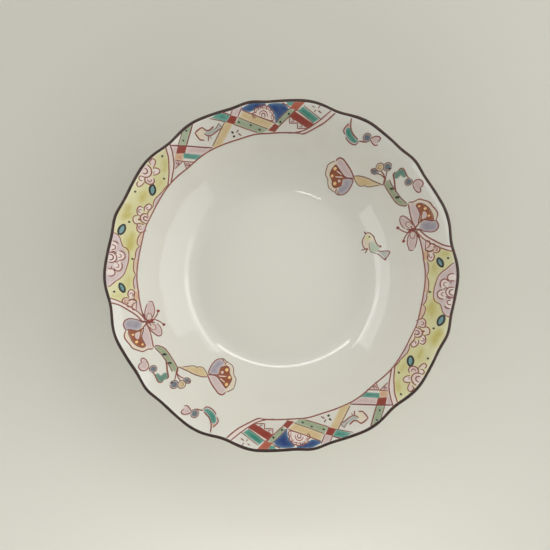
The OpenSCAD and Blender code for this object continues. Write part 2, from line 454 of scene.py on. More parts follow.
def oval(centre, radius, across=1.0, tilt=0.0):
    """Points all the way round an oval."""
    return arc(centre, radius, 0, 360, across, tilt)[:-1]


def ring_arc(radius, start, end):
    """Points about a millimetre apart at one profile radius, so that they keep to the petals' shape."""
    count = max(2, int(abs(math.radians(end - start)) * radius))
    angles = np.linspace(start, end, count + 1)
    r = radius + lobes(angles) * fade(radius)
    return np.stack([r * np.cos(np.radians(angles)), r * np.sin(np.radians(angles))], 1)


def edge_distance(points, outline):
    """How far each point is from a closed outline."""
    a = outline
    d = np.roll(outline, -1, 0) - a
    length = np.maximum((d ** 2).sum(1), 1e-12)
    rel = points[:, None, :] - a[None]
    t = np.clip((rel * d[None]).sum(2) / length[None], 0, 1)
    return np.sqrt(((rel - t[..., None] * d[None]) ** 2).sum(2)).min(1)


def leftward(outline):
    """The outline in anticlockwise order."""
    p = np.asarray(outline, float)
    q = np.roll(p, -1, 0)
    return p if (p[:, 0] * q[:, 1] - q[:, 0] * p[:, 1]).sum() > 0 else p[::-1]


class Painting:
    """The enamel of one motif."""

    def __init__(self):
        self.vertices = []
        self.faces = []
        self.ids = []
        self.pool = []

    def add(self, vertices, faces, paint, pool):
        """Adds a mesh in one paint, with how far each of its points is into the pool."""
        base = sum(len(v) for v in self.vertices)
        self.vertices.append(vertices)
        self.faces.extend([[base + v for v in f] for f in faces])
        self.ids.extend([PAINT_NAMES.index(paint)] * len(faces))
        self.pool.append(np.broadcast_to(pool, len(vertices)))

    def fill(self, outline, paint, zone=None, layer=1, soft=1.0):
        """Flat enamel inside an outline, and inside a zone if one is given."""
        loops = [leftward(outline)] + ([leftward(zone)] if zone is not None else [])
        low, high = loops[0].min(0), loops[0].max(0)
        size = max(high - low)
        pitch = FINE_PITCH if size < SMALL_FILL else WIDE_PITCH
        x, y = np.meshgrid(np.arange(low[0] + pitch / 3, high[0], pitch),
                           np.arange(low[1] + pitch / 3, high[1], pitch))
        inner = np.stack([x.ravel(), y.ravel()], 1)
        inner = inner[edge_distance(inner, loops[0]) > pitch * 0.35]
        sites = np.vstack(loops + [inner])
        rings, first = [], 0
        for loop in loops:
            rings.append(list(range(first, first + len(loop))))
            first += len(loop)
        out = delaunay_2d_cdt([Vector(p) for p in sites], [], rings, 0, SNAP)
        flat, triangles, origin = np.array(out[0]), out[2], out[5]
        kept = [f for f, o in zip(triangles, origin) if len(set(o)) == len(loops)]
        if not kept:
            return
        used = sorted({v for f in kept for v in f})
        index = {v: i for i, v in enumerate(used)}
        kept = [[index[v] for v in f] for f in kept]
        flat = flat[used]
        lift = SKIN + LAYER * layer
        pool = np.clip(edge_distance(flat, loops[0]) / soft, 0, 1)
        self.add(drape(flat, lift), kept, paint, pool)
        sides = {(f[i - 1], f[i]) for f in kept for i in range(3)}
        rim = [e for e in sides if (e[1], e[0]) not in sides]
        ends = sorted({v for e in rim for v in e})
        at = {v: i for i, v in enumerate(ends)}
        skirt = np.vstack([drape(flat[ends], lift), drape(flat[ends], -SKIRT)])
        n = len(ends)
        self.add(skirt, [[at[b], at[a], n + at[a], n + at[b]] for a, b in sorted(rim)], paint, 0.0)

    def line(self, points, width=0.65, paint="red", taper=0.35, layer=3):
        """A raised brush line that thins towards its ends."""
        p = np.asarray(points, float)
        steps = np.gradient(p, axis=0)
        steps /= np.maximum(np.linalg.norm(steps, axis=1), 1e-9)[:, None]
        side = np.stack([-steps[:, 1], steps[:, 0]], 1)
        along = np.concatenate([[0], np.cumsum(np.linalg.norm(np.diff(p, axis=0), axis=1))])
        near_end = np.minimum(along, along[-1] - along) / THIN_RUN
        half = width / 2 * (1 - taper * (1 - np.clip(near_end, 0, 1)))
        base = SKIN + LAYER * (layer - 1)
        lifts = [(u, base + LINE_RISE * h if h else -ROOT) for u, h in LINE_SECTION]
        rows = [drape(p + side * (half * u)[:, None], lift) for u, lift in lifts]
        n = len(p)
        faces = [[c * n + i + 1, c * n + i, (c + 1) * n + i, (c + 1) * n + i + 1]
                 for c in range(len(LINE_SECTION) - 1) for i in range(n - 1)]
        self.add(np.vstack(rows), [f[::-1] for f in faces], paint, 0.0)

    def wash(self, points, paint, zone=None, layer=1, soft=1.0):
        """Enamel inside a soft closed curve through the points."""
        self.fill(smooth(points, closed=True), paint, zone, layer, soft)

    def tile(self, corners, paint, zone=None, layer=1, soft=1.0):
        """Enamel inside straight sides."""
        self.fill(straight(corners, closed=True), paint, zone, layer, soft)

    def curve(self, points, width=0.65, paint="red", taper=0.35, layer=3):
        """A soft brush line through the points."""
        self.line(smooth(points), width, paint, taper, layer)

    def ruled(self, corners, width=0.65, paint="red", taper=0.35, layer=3):
        """A brush line with straight sides."""
        self.line(straight(corners), width, paint, taper, layer)

    def dot(self, centre, radius, paint="red", across=1.0, tilt=0.0, layer=3):
        """A small round bead of enamel."""
        base = SKIN + LAYER * (layer - 1)
        turns = oval((0, 0), 1.0, across, tilt)
        rings = [(1.0, -ROOT)] + [(r, base + h) for r, h in BEAD_RINGS]
        n = len(turns)
        rows = [drape(np.asarray(centre) + turns * radius * r, h) for r, h in rings]
        rows.append(drape(np.asarray([centre], float), base + BEAD_TOP))
        faces = [[c * n + i, c * n + (i + 1) % n, (c + 1) * n + (i + 1) % n, (c + 1) * n + i]
                 for c in range(2) for i in range(n)]
        faces += [[2 * n + i, 2 * n + (i + 1) % n, 3 * n] for i in range(n)]
        pool = np.repeat([0.0, 0.4, 1.0], n)
        self.add(np.vstack(rows), faces, paint, np.append(pool, 1.0))

    def place(self, name, node, slot, turned=False):
        """Makes the piece, as painted or turned half way round the bowl."""
        vertices = np.vstack(self.vertices)
        if turned:
            vertices = vertices * (-1, -1, 1)
        used = sorted(set(self.ids))
        ids = [used.index(i) for i in self.ids]
        make_piece(name, vertices, self.faces, [PAINTS[PAINT_NAMES[i]] for i in used], ids, [node],
                   np.concatenate(self.pool).astype(np.float32))


def both(painting, name, first, second, slot):
    """Makes a motif's two copies, half a turn apart."""
    painting.place(f"{name}_painting_{first}", f"{name}_{first}", slot)
    painting.place(f"{name}_painting_{second}", f"{name}_{second}", slot, turned=True)


# ---- Lines that divide the border ----

# The lattice panel's point at its right end, and the double line between lattice and blossoms
TONGUE_OUTER = smooth([(10.3, 74.4), (12.5, 74.6), (17.2, 76.5), (22.6, 79.0), (27.7, 82.7)])
TONGUE_INNER = smooth([(3.9, 74.8), (8.7, 75.2), (13.5, 76.5), (18.9, 79.4), (22.6, 81.8), (25.5, 83.9)])
GATE_LATTICE = smooth([(-56.9, 67.4), (-56.4, 65.3), (-55.8, 62.7), (-55.5, 59.3), (-55.7, 56.2),
                       (-56.5, 53.0), (-57.8, 48.0)])
GATE_BLOSSOM = smooth([(-59.0, 65.3), (-58.5, 63.0), (-58.0, 60.6), (-58.1, 56.7), (-58.3, 53.0),
                       (-59.5, 45.8)])
# The blossom panel's double line at the butterfly, in the right-hand copy
SWEEP_OUTER = smooth([(71.6, 24.6), (72.6, 23.5), (75.6, 20.3), (80.5, 16.8), (83.5, 15.1), (87.4, 14.1)])
SWEEP_INNER = smooth([(71.4, 22.6), (73.2, 20.2), (75.6, 18.0), (80.2, 14.9), (84.2, 12.9), (87.6, 11.8)])
SWEEP_EDGE = smooth([(70.9, 23.4), (71.8, 20.9), (72.7, 18.6), (73.9, 13.1), (74.4, 9.9)])


def angle_of(point):
    """The direction of a point of the plan from the axis, in degrees."""
    return math.degrees(math.atan2(point[1], point[0]))


def lattice_zone():
    """The outline of the lattice panel."""
    top = ring_arc(PAINT_END, angle_of(TONGUE_INNER[-1]), angle_of(GATE_LATTICE[0]))
    bottom = ring_arc(BORDER_R, angle_of(GATE_LATTICE[-1]), angle_of(TONGUE_INNER[0]))
    return np.vstack([TONGUE_INNER[:-1], top, GATE_LATTICE[1:], bottom[1:-1]])


def blossom_zone():
    """The outline of the blossom panel."""
    gate = -GATE_BLOSSOM
    top = ring_arc(PAINT_END, angle_of(gate[0]), angle_of(SWEEP_INNER[-1]))
    inner = ring_arc(BORDER_R, angle_of(SWEEP_EDGE[-1]), angle_of(gate[-1]))
    return np.vstack([gate[::-1][:-1], top, SWEEP_INNER[::-1][1:], SWEEP_EDGE[2:-1], inner[:-1]])


def strip_zone(first, second):
    """The strip between two lines."""
    return np.vstack([first, second[::-1]])


# ---- Motifs, each in its right-hand or back copy ----

def petal(p, points, paint, width=0.65, zone=None):
    """A petal's wash, and the brush line from its first point round to its last."""
    p.wash(points, paint, zone)
    p.curve(points, width)


def lattice_left_end(p, zone):
    """Band, red square, pink and teal rows, and scrolled corners."""
    p.tile([(-50.2, 75.5), (-45.4, 77.5), (-48.6, 67.0), (-52.6, 66.5)], "sage", zone)
    p.ruled([(-45.2, 77.2), (-47.2, 71.5), (-48.8, 67.0)], 0.75, "maroon")
    p.ruled([(-50.4, 73.2), (-52.9, 66.4)], 0.5, "umber")
    p.tile([(-48.7, 66.4), (-36.2, 66.7), (-41.2, 63.3), (-49.7, 63.2)], "rose", zone)
    p.tile([(-56.2, 66.0), (-53.2, 66.4), (-54.4, 62.5), (-56.0, 62.5)], "rose", zone)
    p.tile([(-53.0, 66.6), (-48.6, 67.0), (-49.8, 63.2), (-54.1, 62.6)], "dark_red", layer=2)
    p.ruled([(-56.3, 66.1), (-48.7, 66.6), (-36.0, 66.9)], 0.75, "maroon")
    p.tile([(-54.6, 62.5), (-50.7, 63.0), (-50.8, 59.6), (-55.0, 59.5)], "orange", zone)
    p.tile([(-50.6, 63.2), (-41.2, 63.2), (-44.4, 60.8), (-50.6, 60.8)], "teal", zone)
    p.ruled([(-54.9, 59.5), (-50.6, 59.3), (-44.8, 59.5)], 0.6)
    p.tile([(-55.2, 59.2), (-51.2, 59.2), (-55.0, 55.6)], "rose", zone)
    p.tile([(-50.5, 59.2), (-45.0, 59.3), (-49.4, 55.7)], "rose", zone)
    p.ruled([(-55.2, 55.6), (-51.2, 59.2)], 0.55)
    p.ruled([(-50.6, 59.2), (-49.3, 55.6)], 0.55)
    p.curve([(-54.7, 58.6), (-53.7, 57.7), (-53.0, 58.5), (-53.9, 58.9)], 0.6)
    p.curve([(-49.7, 58.7), (-48.9, 57.4), (-47.8, 58.2), (-48.8, 58.7)], 0.6)
    for at in [(-48.5, 73.7), (-50.2, 69.0)]:
        p.dot(at, 0.55, "black", across=0.8)


def small_bird(p):
    """The small bird in the first white diamond."""
    p.wash([(-44.1, 73.0), (-42.1, 74.9), (-40.4, 75.4), (-39.1, 74.0), (-38.7, 71.6), (-40.4, 70.2),
            (-42.8, 71.0)], "cream")
    p.wash([(-39.7, 73.0), (-38.2, 74.3), (-36.6, 74.6), (-34.8, 76.0), (-33.4, 75.0), (-36.1, 72.6),
            (-38.3, 72.4)], "grey", layer=2)
    p.tile([(-34.0, 75.3), (-32.1, 77.8), (-30.5, 76.0), (-32.6, 74.9)], "grey", layer=2)
    p.curve([(-44.3, 73.0), (-43.0, 71.2), (-41.7, 70.1), (-39.8, 70.2)], 0.85)
    p.curve([(-44.3, 73.0), (-42.1, 74.9), (-40.4, 75.6), (-39.3, 74.8), (-38.2, 74.5), (-36.8, 74.8),
             (-35.6, 75.9), (-34.8, 76.5)], 0.8)
    p.curve([(-39.7, 73.2), (-38.6, 72.4), (-36.6, 72.4), (-34.6, 73.5), (-32.3, 75.2), (-30.3, 76.1)],
            0.75)
    p.ruled([(-34.0, 75.4), (-32.1, 78.0), (-30.3, 76.1)], 0.5, "umber")
    p.ruled([(-37.7, 72.0), (-37.8, 69.9)], 0.7)
    p.ruled([(-37.0, 71.9), (-36.2, 71.2)], 0.7)


def lattice_bands(p, zone):
    """The ochre band, the red squares and the long bands between them."""
    p.tile([(-29.1, 78.7), (-24.8, 78.4), (-31.5, 67.5), (-36.2, 66.5)], "ochre", zone)
    p.ruled([(-29.1, 78.7), (-35.9, 67.6)], 0.55, "umber")
    p.tile([(-35.6, 80.4), (-31.6, 82.8), (-26.0, 82.1), (-28.3, 78.9)], "teal", zone, soft=1.6)
    p.curve([(-30.6, 83.0), (-28.2, 82.6), (-25.9, 81.9)], 0.6)
    p.ruled([(-36.6, 80.0), (-28.2, 78.8)], 0.5, "umber")
    p.tile([(-26.1, 81.9), (-22.4, 81.3), (-20.3, 85.6), (-24.6, 85.2)], "lilac", zone)
    p.tile([(-25.9, 81.9), (-22.5, 81.3), (-24.3, 78.0), (-28.2, 78.7)], "dark_red", layer=2)
    p.ruled([(-24.7, 84.8), (-26.1, 81.8)], 0.6)
    p.ruled([(-20.2, 85.8), (-22.4, 81.2)], 0.65)
    for at, tilt in [((-25.3, 74.4), -30), ((-24.6, 72.7), 20)]:
        p.dot(at, 0.75, "olive", across=0.7, tilt=tilt)
    p.ruled([(-22.2, 75.8), (-23.2, 74.5)], 0.8, "maroon")
    p.ruled([(-22.5, 74.1), (-20.8, 73.3)], 0.8, "maroon")
    p.tile([(-19.8, 84.3), (-21.6, 81.1), (-6.7, 76.5), (-3.7, 79.4)], "ochre", zone)
    p.tile([(-21.9, 80.9), (-24.4, 78.0), (-10.6, 74.3), (-6.7, 76.4)], "sage", zone)
    p.ruled([(-20.2, 84.5), (-3.6, 79.4)], 0.65)
    p.ruled([(-22.0, 81.1), (-6.8, 76.6)], 0.5, "umber")
    p.ruled([(-24.4, 77.9), (-12.6, 75.0)], 0.6)
    for at in [(-21.8, 79.1), (-15.8, 78.1), (-11.2, 76.3)]:
        p.dot(at, 0.65, "black", across=0.65, tilt=-15)
    p.tile([(-3.3, 79.1), (-1.0, 77.8), (-3.4, 75.4), (-6.8, 75.9)], "dark_red", layer=2)


def blue_diamond(p, zone):
    """The blue diamond with half a chrysanthemum on the ochre band."""
    p.wash([(-20.2, 84.8), (-18.3, 86.4), (-14.2, 87.9), (-8.0, 87.6), (-9.6, 86.0), (-13.2, 85.2),
            (-16.2, 83.9)], "blue", zone, soft=1.1)
    p.wash([(-7.0, 86.4), (-5.4, 87.6), (0.7, 87.6), (3.8, 85.2), (1.8, 83.1), (-0.8, 80.6), (-2.8, 79.2),
            (-3.4, 82.5), (-4.8, 84.7)], "blue", zone, soft=1.4)
    p.wash([(-14.6, 83.3), (-13.4, 84.8), (-10.9, 85.8), (-8.5, 86.4), (-6.0, 85.5), (-4.4, 83.4),
            (-3.9, 80.3), (-9.0, 81.4)], "blush", zone, layer=2)
    heart = np.array([-9.2, 82.0])
    for turn in range(-8, 173, 30):
        out = np.array([math.cos(math.radians(turn)), math.sin(math.radians(turn))])
        at = heart + out * (3.6 + 0.8 * abs(out[0]))
        p.line(arc(at, 1.15, turn - 115, turn + 115), 0.7)
        p.line(arc(at - 0.3 * out, 0.45, turn - 100, turn + 130, step=0.25), 0.5)
    p.line(arc(heart + (0, 0.4), 2.1, -15, 170), 0.6)
    p.line(arc(heart + (0, 0.5), 0.9, -60, 230), 0.7, "maroon")


def lattice_right_end(p, zone):
    """Sage band up to the lip, the red cross, the stepped line and the last white diamond."""
    p.tile([(4.7, 85.6), (7.0, 84.3), (-0.8, 78.0), (-2.6, 79.9)], "sage", zone)
    p.ruled([(7.2, 84.5), (-0.8, 78.1), (-3.6, 75.3)], 0.65)
    p.ruled([(4.9, 85.9), (-3.2, 79.3)], 0.5, "umber")
    for at in [(4.0, 83.2), (-0.4, 79.7)]:
        p.dot(at, 0.65, "black", across=0.8, tilt=-30)
    p.tile([(2.8, 88.4), (6.8, 88.6), (5.4, 86.7), (3.2, 86.9)], "teal", zone)
    p.curve([(0.4, 88.0), (3.2, 86.8), (4.6, 85.8)], 0.6)
    p.tile([(6.9, 88.6), (12.4, 88.6), (8.3, 84.7), (4.3, 85.6)], "bright_red", zone, layer=2)
    p.tile([(6.9, 84.4), (17.0, 78.5), (13.8, 76.8), (4.4, 81.9)], "dark_red", zone, layer=2)
    p.ruled([(8.7, 84.7), (6.9, 84.6), (4.4, 82.0)], 0.6)
    p.tile([(11.2, 86.3), (19.6, 80.6), (16.8, 79.2), (8.7, 84.6)], "teal", zone, soft=0.9)
    p.ruled([(11.6, 86.7), (20.4, 80.6)], 0.5, "umber")
    p.ruled([(8.6, 84.6), (17.0, 78.9)], 0.5, "umber")
    p.tile([(4.3, 81.4), (4.3, 79.2), (8.6, 79.2), (8.6, 76.9), (13.2, 76.8)], "rose", zone)
    p.ruled([(4.3, 81.8), (4.3, 79.2), (8.6, 79.2), (8.6, 76.9), (13.2, 76.8)], 0.6)
    p.curve([(5.2, 80.0), (6.4, 79.9), (6.6, 80.8), (5.7, 80.8)], 0.42)
    p.curve([(9.6, 77.8), (11.0, 77.6), (10.8, 78.6), (10.0, 78.4)], 0.42)
    ticks = [([(16.0, 86.6), (17.1, 85.8)], "umber"), ([(19.9, 86.5), (19.1, 85.4)], "red"),
             ([(16.9, 83.9), (17.9, 84.6)], "red"), ([(19.0, 84.3), (20.6, 83.2)], "umber")]
    for ends, paint in ticks:
        p.ruled(ends, 0.75, paint)


def lattice_panel():
    """The white-ground panel of diagonal bands."""
    p = Painting()
    zone = lattice_zone()
    p.fill(zone, "white", layer=0)
    p.fill(strip_zone(TONGUE_OUTER, TONGUE_INNER), "blush", layer=0)
    p.fill(strip_zone(GATE_LATTICE, GATE_BLOSSOM), "blush", layer=0)
    lattice_left_end(p, zone)
    small_bird(p)
    lattice_bands(p, zone)
    blue_diamond(p, zone)
    lattice_right_end(p, zone)
    p.line(ring_arc(BORDER_R, angle_of(GATE_LATTICE[-1]), angle_of(TONGUE_OUTER[0])), 0.75)
    p.line(TONGUE_OUTER, 0.75)
    p.line(TONGUE_INNER, 0.65)
    p.line(GATE_LATTICE, 0.7)
    both(p, "lattice_panel", "back", "front", "white_ground_enamel")


def jewel(p, first, second, width):
    """A jade drop with a deeper heart inside a thick black outline that comes to a point at each end."""
    first, second = np.array(first), np.array(second)
    middle, axis = (first + second) / 2, (second - first) / 2
    side = np.array([-axis[1], axis[0]]) / np.linalg.norm(axis) * (width - 0.9) / 2
    t = np.radians(np.arange(0, 360, 12))
    bulge = np.sign(np.sin(t)) * np.abs(np.sin(t)) ** 1.45
    outline = middle - np.outer(0.95 * np.cos(t), axis) + np.outer(bulge, side)
    p.fill(outline, "jade_glass")
    p.fill(middle + (outline - middle) * 0.6, "deep_jade", layer=2, soft=0.6)
    p.line(np.vstack([outline, outline[:1]]), 1.15, "black", taper=0)


def petal_chain(p, zone):
    """Long petals between the border line and a scalloped outer edge."""
    chain = [
        ([(76.3, 7.3), (76.9, 3.9), (76.7, 1.6), (76.0, -0.3)], "lilac"),
        ([(76.0, -0.3), (76.8, -2.7), (76.8, -5.3), (76.5, -8.2), (75.9, -9.4)], "peach"),
        ([(75.9, -9.4), (75.8, -11.7), (75.0, -14.0), (73.9, -15.3)], "lilac"),
        ([(73.9, -15.3), (75.0, -16.6), (74.7, -18.9), (73.9, -20.9), (72.7, -22.9)], "peach"),
        ([(69.6, -30.2), (69.5, -32.6), (68.1, -34.6), (66.8, -36.2)], "cream"),
        ([(66.8, -36.3), (66.5, -38.2), (65.4, -40.3), (63.9, -41.9), (62.1, -43.8)], "lilac"),
        ([(62.1, -43.8), (61.3, -45.0), (59.8, -46.8), (58.5, -47.8)], "peach"),
    ]
    for outer, paint in chain:
        inner = ring_arc(BORDER_R - 0.8, angle_of(outer[0]), angle_of(outer[-1]))
        p.fill(np.vstack([inner, smooth(outer)[::-1]]), paint, zone)
        p.curve(outer, 0.55)


def half_flower(p, zone):
    """The half flower that leans on the border line under the butterfly."""
    p.tile([(72.7, 19.4), (75.2, 18.2), (75.3, 13.5), (73.4, 13.4)], "lilac", zone)
    p.tile([(73.6, 13.0), (76.2, 12.6), (76.3, 8.0), (74.2, 8.0)], "orange", zone)
    p.wash([(75.2, 18.2), (77.0, 17.4), (79.0, 15.4), (81.0, 13.6), (80.4, 11.8), (78.6, 11.6),
            (76.4, 12.4), (75.2, 14.0)], "pink", zone)
    petal(p, [(75.3, 18.2), (76.8, 17.6), (77.1, 15.9), (76.4, 14.6), (75.3, 14.0)], "pink")
    p.line(arc((78.3, 15.2), 1.2, -60, 150), 0.6)
    p.ruled([(75.3, 18.1), (75.2, 13.8)], 0.5)
    p.fill(oval((79.9, 13.3), 1.7), "orange", zone)
    p.line(arc((79.9, 13.3), 1.7, -130, 130))
    p.line(arc((79.8, 13.4), 0.7, -90, 90), 0.5)
    p.fill(oval((77.7, 9.6), 2.2, 0.68, 90), "blush")
    p.line(arc((77.7, 9.6), 2.2, 60, 330, 0.68, 90))
    p.curve([(77.1, 11.2), (77.0, 9.8), (77.8, 9.0), (78.3, 10.0)], 0.5)
    p.curve([(75.0, 13.6), (76.2, 12.7), (77.8, 12.5), (78.8, 13.4)], 1.0, "maroon")
    p.curve([(76.2, 12.6), (76.5, 10.4), (76.3, 8.2)], 0.5)


def chrysanthemum(p, zone):
    """The large lilac chrysanthemum that the lip cuts off, with bold scrolls on pale petals."""
    edge = [(88.2, 6.2), (87.0, 5.4), (84.9, 3.3), (82.9, 1.7), (81.3, -0.3), (80.4, -2.6), (79.9, -4.3),
            (79.3, -6.5), (78.9, -9.4), (78.9, -12.0), (79.6, -13.7), (81.5, -14.9), (82.2, -17.2),
            (82.7, -19.2), (84.2, -21.0), (86.2, -21.5)]
    p.fill(smooth(edge + [(91, -20), (93, -8), (92, 4)], closed=True), "lilac", zone, soft=1.6)
    p.curve(edge, 0.6)
    p.curve([(87.4, 3.6), (84.6, 1.4), (82.6, -0.9), (81.4, -3.4), (80.6, -6.8), (80.2, -10.0),
             (80.6, -12.4), (82.6, -13.6), (83.6, -16.0)], 0.5, "mauve")
    petals = [((83.7, -4.7), 2.6, 0.75), ((87.1, -1.3), 1.9, 1), ((82.6, -10.0), 2.4, 0.9),
              ((86.2, -14.6), 2.4, 0.9), ((86.8, -8.9), 2.6, 1)]
    for centre, radius, across in petals:
        p.fill(oval(centre, radius, across, 90), "blush", zone, layer=2)
    p.line(arc((83.9, -4.7), 2.6, 300, 490, 0.75, 90), 0.85)
    p.line(arc((87.1, -1.3), 1.9, 60, 260), 0.8)
    p.line(arc((82.8, -10.0), 2.3, 80, 280), 0.85)
    p.line(arc((86.8, -8.9), 2.5, 60, 300), 0.8)
    p.line(arc((87.2, -9.0), 1.4, 70, 290), 0.85, "maroon")
    p.line(arc((85.9, -14.1), 1.2, 60, 300), 0.8)
    p.curve([(83.3, -15.7), (84.1, -16.8), (85.8, -17.3)], 0.85)
    p.curve([(86.7, -4.4), (86.7, -3.3), (87.5, -2.9), (88.2, -3.5)], 0.8)
    p.line(arc((84.4, -4.8), 1.0, 60, 280), 0.6)
    p.line(arc((83.2, -9.9), 0.9, 60, 280), 0.6)
    p.curve([(83.4, -7.2), (84.4, -6.6), (85.4, -6.8)], 0.8, "maroon")
    p.curve([(84.2, -11.0), (85.3, -11.8), (86.6, -12.3)], 0.8, "maroon")


def line_flower(p):
    """The flower that sits on the border line."""
    petal(p, [(70.7, -23.6), (72.7, -22.6), (74.1, -22.6), (74.9, -24.0), (74.7, -25.8), (74.1, -27.0),
              (71.6, -26.6)], "pink")
    p.wash([(70.7, -24.0), (72.2, -23.3), (72.6, -24.9), (71.9, -26.4), (70.9, -26.0)], "lilac", layer=2)
    petal(p, [(73.6, -27.1), (75.2, -26.7), (76.2, -27.5), (76.5, -29.3), (75.7, -30.6), (74.3, -30.9)],
          "cream")
    p.dot((73.7, -29.0), 0.6, "red")
    petal(p, [(73.1, -30.9), (74.1, -31.4), (74.4, -33.5), (73.8, -34.8), (72.9, -35.6), (71.5, -35.0)],
          "blush")
    petal(p, [(71.1, -33.5), (70.8, -35.3), (69.6, -36.7), (68.2, -37.1), (67.5, -35.9), (68.1, -34.4)],
          "blush")
    p.line(arc((69.1, -34.9), 0.8, -60, 200), 0.6)
    p.line(arc((73.3, -24.9), 0.8, -120, 120), 0.55)
    p.line(arc((72.9, -33.2), 0.8, -150, 90), 0.55)
    p.fill(oval((70.9, -29.7), 2.4), "pink", layer=2)
    p.line(arc((70.7, -29.7), 2.4, -110, 100), 0.75)
    p.line(arc((70.7, -29.7), 1.0, -160, 140), 0.8, "maroon")


def lip_flower(p, zone):
    """The flower at the lip end of the blossom panel."""
    petal(p, [(65.8, -50.2), (65.6, -48.4), (66.8, -47.1), (68.6, -47.0), (69.9, -48.2), (69.8, -50.0)],
          "pink", width=0.75, zone=zone)
    p.line(arc((67.8, -49.0), 0.9, -20, 210), 0.6)
    petal(p, [(69.8, -47.9), (70.9, -46.7), (72.2, -45.5), (73.3, -45.3), (73.9, -46.5), (73.0, -47.6)],
          "cream", zone=zone)
    petal(p, [(71.0, -48.2), (72.1, -48.4), (72.7, -49.5), (71.8, -50.5), (70.4, -50.2)],
          "blush", width=0.6, zone=zone)
    petal(p, [(66.0, -51.4), (64.5, -51.9), (63.2, -52.7), (62.6, -53.9), (63.4, -54.8), (64.9, -55.0),
              (65.9, -54.7)], "blush")
    p.ruled([(65.6, -52.1), (65.3, -53.6)], 0.6)
    petal(p, [(65.7, -55.3), (64.8, -56.6), (64.4, -58.2), (65.0, -59.1), (66.0, -59.2), (67.6, -57.4)],
          "pink", zone=zone)
    p.ruled([(66.7, -56.4), (67.7, -58.2)], 0.6)
    p.fill(oval((69.5, -53.2), 3.0), "pink", zone, layer=2)
    p.line(arc((69.7, -53.2), 3.1, 60, 250), 0.85)
    p.line(arc((69.9, -53.1), 1.35, 50, 270), 0.8, "maroon")


def blossom_panel():
    """The yellow-ground panel of blossoms and jewels."""
    p = Painting()
    zone = blossom_zone()
    p.fill(zone, "yellow", layer=0)
    p.fill(strip_zone(SWEEP_OUTER, SWEEP_INNER), "blush", layer=0)
    stains = [((79.0, 3.5), 4.2, 0.55, 85), ((83.9, 10.8), 2.8, 0.7, 0), ((78.1, -17.4), 6.0, 0.55, 80),
              ((79.2, -32.0), 5.6, 0.62, 62), ((71.2, -40.6), 4.2, 0.6, 68), ((63.0, -47.4), 3.6, 0.6, 60),
              ((60.2, -56.6), 3.8, 0.5, 80)]
    for centre, radius, across, tilt in stains:
        p.fill(oval(centre, radius, across, tilt), "mustard", zone, soft=2.8)
    petal_chain(p, zone)
    half_flower(p, zone)
    chrysanthemum(p, zone)
    line_flower(p)
    lip_flower(p, zone)
    jewel(p, (80.9, 8.9), (82.9, 4.2), 3.0)
    jewel(p, (82.9, -20.6), (80.5, -25.9), 3.5)
    jewel(p, (67.1, -41.6), (66.3, -46.9), 3.5)
    for at in [(85.3, 8.6), (77.3, -8.6), (78.3, -27.4), (74.7, -42.6), (60.9, -50.3), (60.9, -60.8)]:
        p.dot(at, 0.58, "olive")
    p.line(SWEEP_OUTER, 0.75)
    p.line(SWEEP_INNER, 0.65)
    p.line(GATE_BLOSSOM * -1, 0.7)
    border = ring_arc(BORDER_R, angle_of(-GATE_LATTICE[-1]), angle_of(SWEEP_EDGE[-1]))
    p.line(np.vstack([border[:-1], SWEEP_EDGE[::-1]]), 0.75)
    p.line(SWEEP_EDGE[:len(SWEEP_EDGE) // 3], 1.1, "maroon")
    both(p, "blossom_panel", "right", "left", "yellow_ground_enamel")


